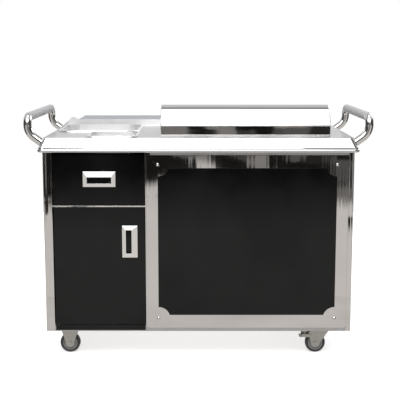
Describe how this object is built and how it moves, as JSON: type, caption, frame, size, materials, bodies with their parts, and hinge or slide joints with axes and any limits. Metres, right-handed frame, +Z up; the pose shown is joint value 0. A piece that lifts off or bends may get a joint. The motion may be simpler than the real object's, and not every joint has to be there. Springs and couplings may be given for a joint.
{
  "type": "push vending cart",
  "caption": "Stainless food cart on castors with a sink, a lift-out pan, a lidded food well, a drawer, a cupboard, a rear shelf and push handles.",
  "frame": {"origin": "on the floor, in the middle of the outer box", "axes": "+X to the right along the cart's length, -Y to the front where the drawer and door open, +Z up"},
  "size_m": [1.35, 0.934, 0.9895],
  "materials": {
    "polished_steel": "mirror polished stainless steel",
    "satin_steel": "satin stainless steel",
    "frame_steel": "mill finish stainless steel",
    "black_gloss": "high gloss black",
    "black_board": "board with a high gloss black face",
    "chrome": "chrome plated",
    "zinc": "bright zinc plated",
    "grip": "satin grey",
    "tyre": "matt",
    "wheel_core": "matt grey"
  },
  "bodies": {
    "cabinet": {"base_frame": "frame_steel", "top_frame": "frame_steel", "front_left_post": "polished_steel", "front_right_post": "polished_steel", "rear_posts": "polished_steel", "bay_post": "polished_steel", "floor_panel": "satin_steel", "left_side_panel": "polished_steel", "right_side_panel": "polished_steel", "rear_panel": "polished_steel", "partition_panel": "satin_steel", "front_panel": "polished_steel", "front_inset": "black_gloss", "panel_screws": "polished_steel", "kick_strip": "black_gloss", "countertop": "polished_steel", "splash_guard": "satin_steel", "rear_shelf": "satin_steel", "shelf_brackets": "satin_steel", "sink_bowl": "satin_steel", "sink_drain": "satin_steel", "well_liner": "satin_steel", "food_pan_left": "satin_steel", "food_pan_right": "satin_steel", "well_surround": "polished_steel", "left_handle": "polished_steel", "right_handle": "polished_steel", "handle_grips": "grip", "lid_hinge_base": "satin_steel", "drawer_slides": "zinc", "door_pivot_pins": "zinc", "castor_bolts": "zinc", "front_left_castor_fork": "zinc", "rear_left_castor_fork": "zinc", "rigid_castor_axles": "zinc", "front_right_castor_plate": "zinc", "rear_right_castor_plate": "zinc"},
    "lid": {"lid_cover": "polished_steel", "lid_hinge_leaf": "satin_steel"},
    "lift_out_pan": {"prep_pan": "satin_steel"},
    "drawer": {"drawer_front": "black_board", "drawer_box": "satin_steel", "drawer_pull": "chrome", "drawer_runners": "zinc"},
    "door": {"door_panel": "black_board", "door_pull": "chrome"},
    "front_left_roller": {"front_left_wheel": "wheel_core", "front_left_tyre": "tyre"},
    "front_right_swivel": {"front_right_castor_fork": "zinc", "front_right_castor_axle": "zinc"},
    "front_right_roller": {"front_right_wheel": "wheel_core", "front_right_tyre": "tyre"},
    "front_right_pedal": {"front_right_castor_brake": "zinc"},
    "rear_left_roller": {"rear_left_wheel": "wheel_core", "rear_left_tyre": "tyre"},
    "rear_right_swivel": {"rear_right_castor_fork": "zinc", "rear_right_castor_axle": "zinc"},
    "rear_right_roller": {"rear_right_wheel": "wheel_core", "rear_right_tyre": "tyre"},
    "rear_right_pedal": {"rear_right_castor_brake": "zinc"}
  },
  "joints": [
    {"name": "lid_hinge", "type": "hinge", "parent": "cabinet", "child": "lid", "pos_m": [0.1845, -0.1375, 0.917], "axis": [-1, 0, 0], "range_deg": [0, 105]},
    {"name": "pan_lift", "type": "slide", "parent": "cabinet", "child": "lift_out_pan", "axis": [0, 0, 1], "range_m": [0, 0.15]},
    {"name": "drawer_slide", "type": "slide", "parent": "cabinet", "child": "drawer", "axis": [0, -1, 0], "range_m": [0, 0.26]},
    {"name": "door_hinge", "type": "hinge", "parent": "cabinet", "child": "door", "pos_m": [-0.55, -0.445, 0.37], "axis": [0, 0, -1], "range_deg": [0, 105]},
    {"name": "front_left_roll", "type": "hinge", "parent": "cabinet", "child": "front_left_roller", "pos_m": [-0.517, -0.37, 0.04], "axis": [0, 1, 0], "continuous": true},
    {"name": "front_right_turn", "type": "hinge", "parent": "cabinet", "child": "front_right_swivel", "pos_m": [0.495, -0.37, 0.09], "axis": [0, 0, 1], "continuous": true},
    {"name": "front_right_roll", "type": "hinge", "parent": "front_right_swivel", "child": "front_right_roller", "pos_m": [0.47, -0.37, 0.04], "axis": [0, 1, 0], "continuous": true},
    {"name": "front_right_brake", "type": "hinge", "parent": "front_right_swivel", "child": "front_right_pedal", "pos_m": [0.451, -0.37, 0.073], "axis": [0, -1, 0], "range_deg": [0, 12]},
    {"name": "rear_left_roll", "type": "hinge", "parent": "cabinet", "child": "rear_left_roller", "pos_m": [-0.517, 0.136, 0.04], "axis": [0, 1, 0], "continuous": true},
    {"name": "rear_right_turn", "type": "hinge", "parent": "cabinet", "child": "rear_right_swivel", "pos_m": [0.495, 0.136, 0.09], "axis": [0, 0, 1], "continuous": true},
    {"name": "rear_right_roll", "type": "hinge", "parent": "rear_right_swivel", "child": "rear_right_roller", "pos_m": [0.47, 0.136, 0.04], "axis": [0, 1, 0], "continuous": true},
    {"name": "rear_right_brake", "type": "hinge", "parent": "rear_right_swivel", "child": "rear_right_pedal", "pos_m": [0.451, 0.136, 0.073], "axis": [0, -1, 0], "range_deg": [0, 12]}
  ]
}
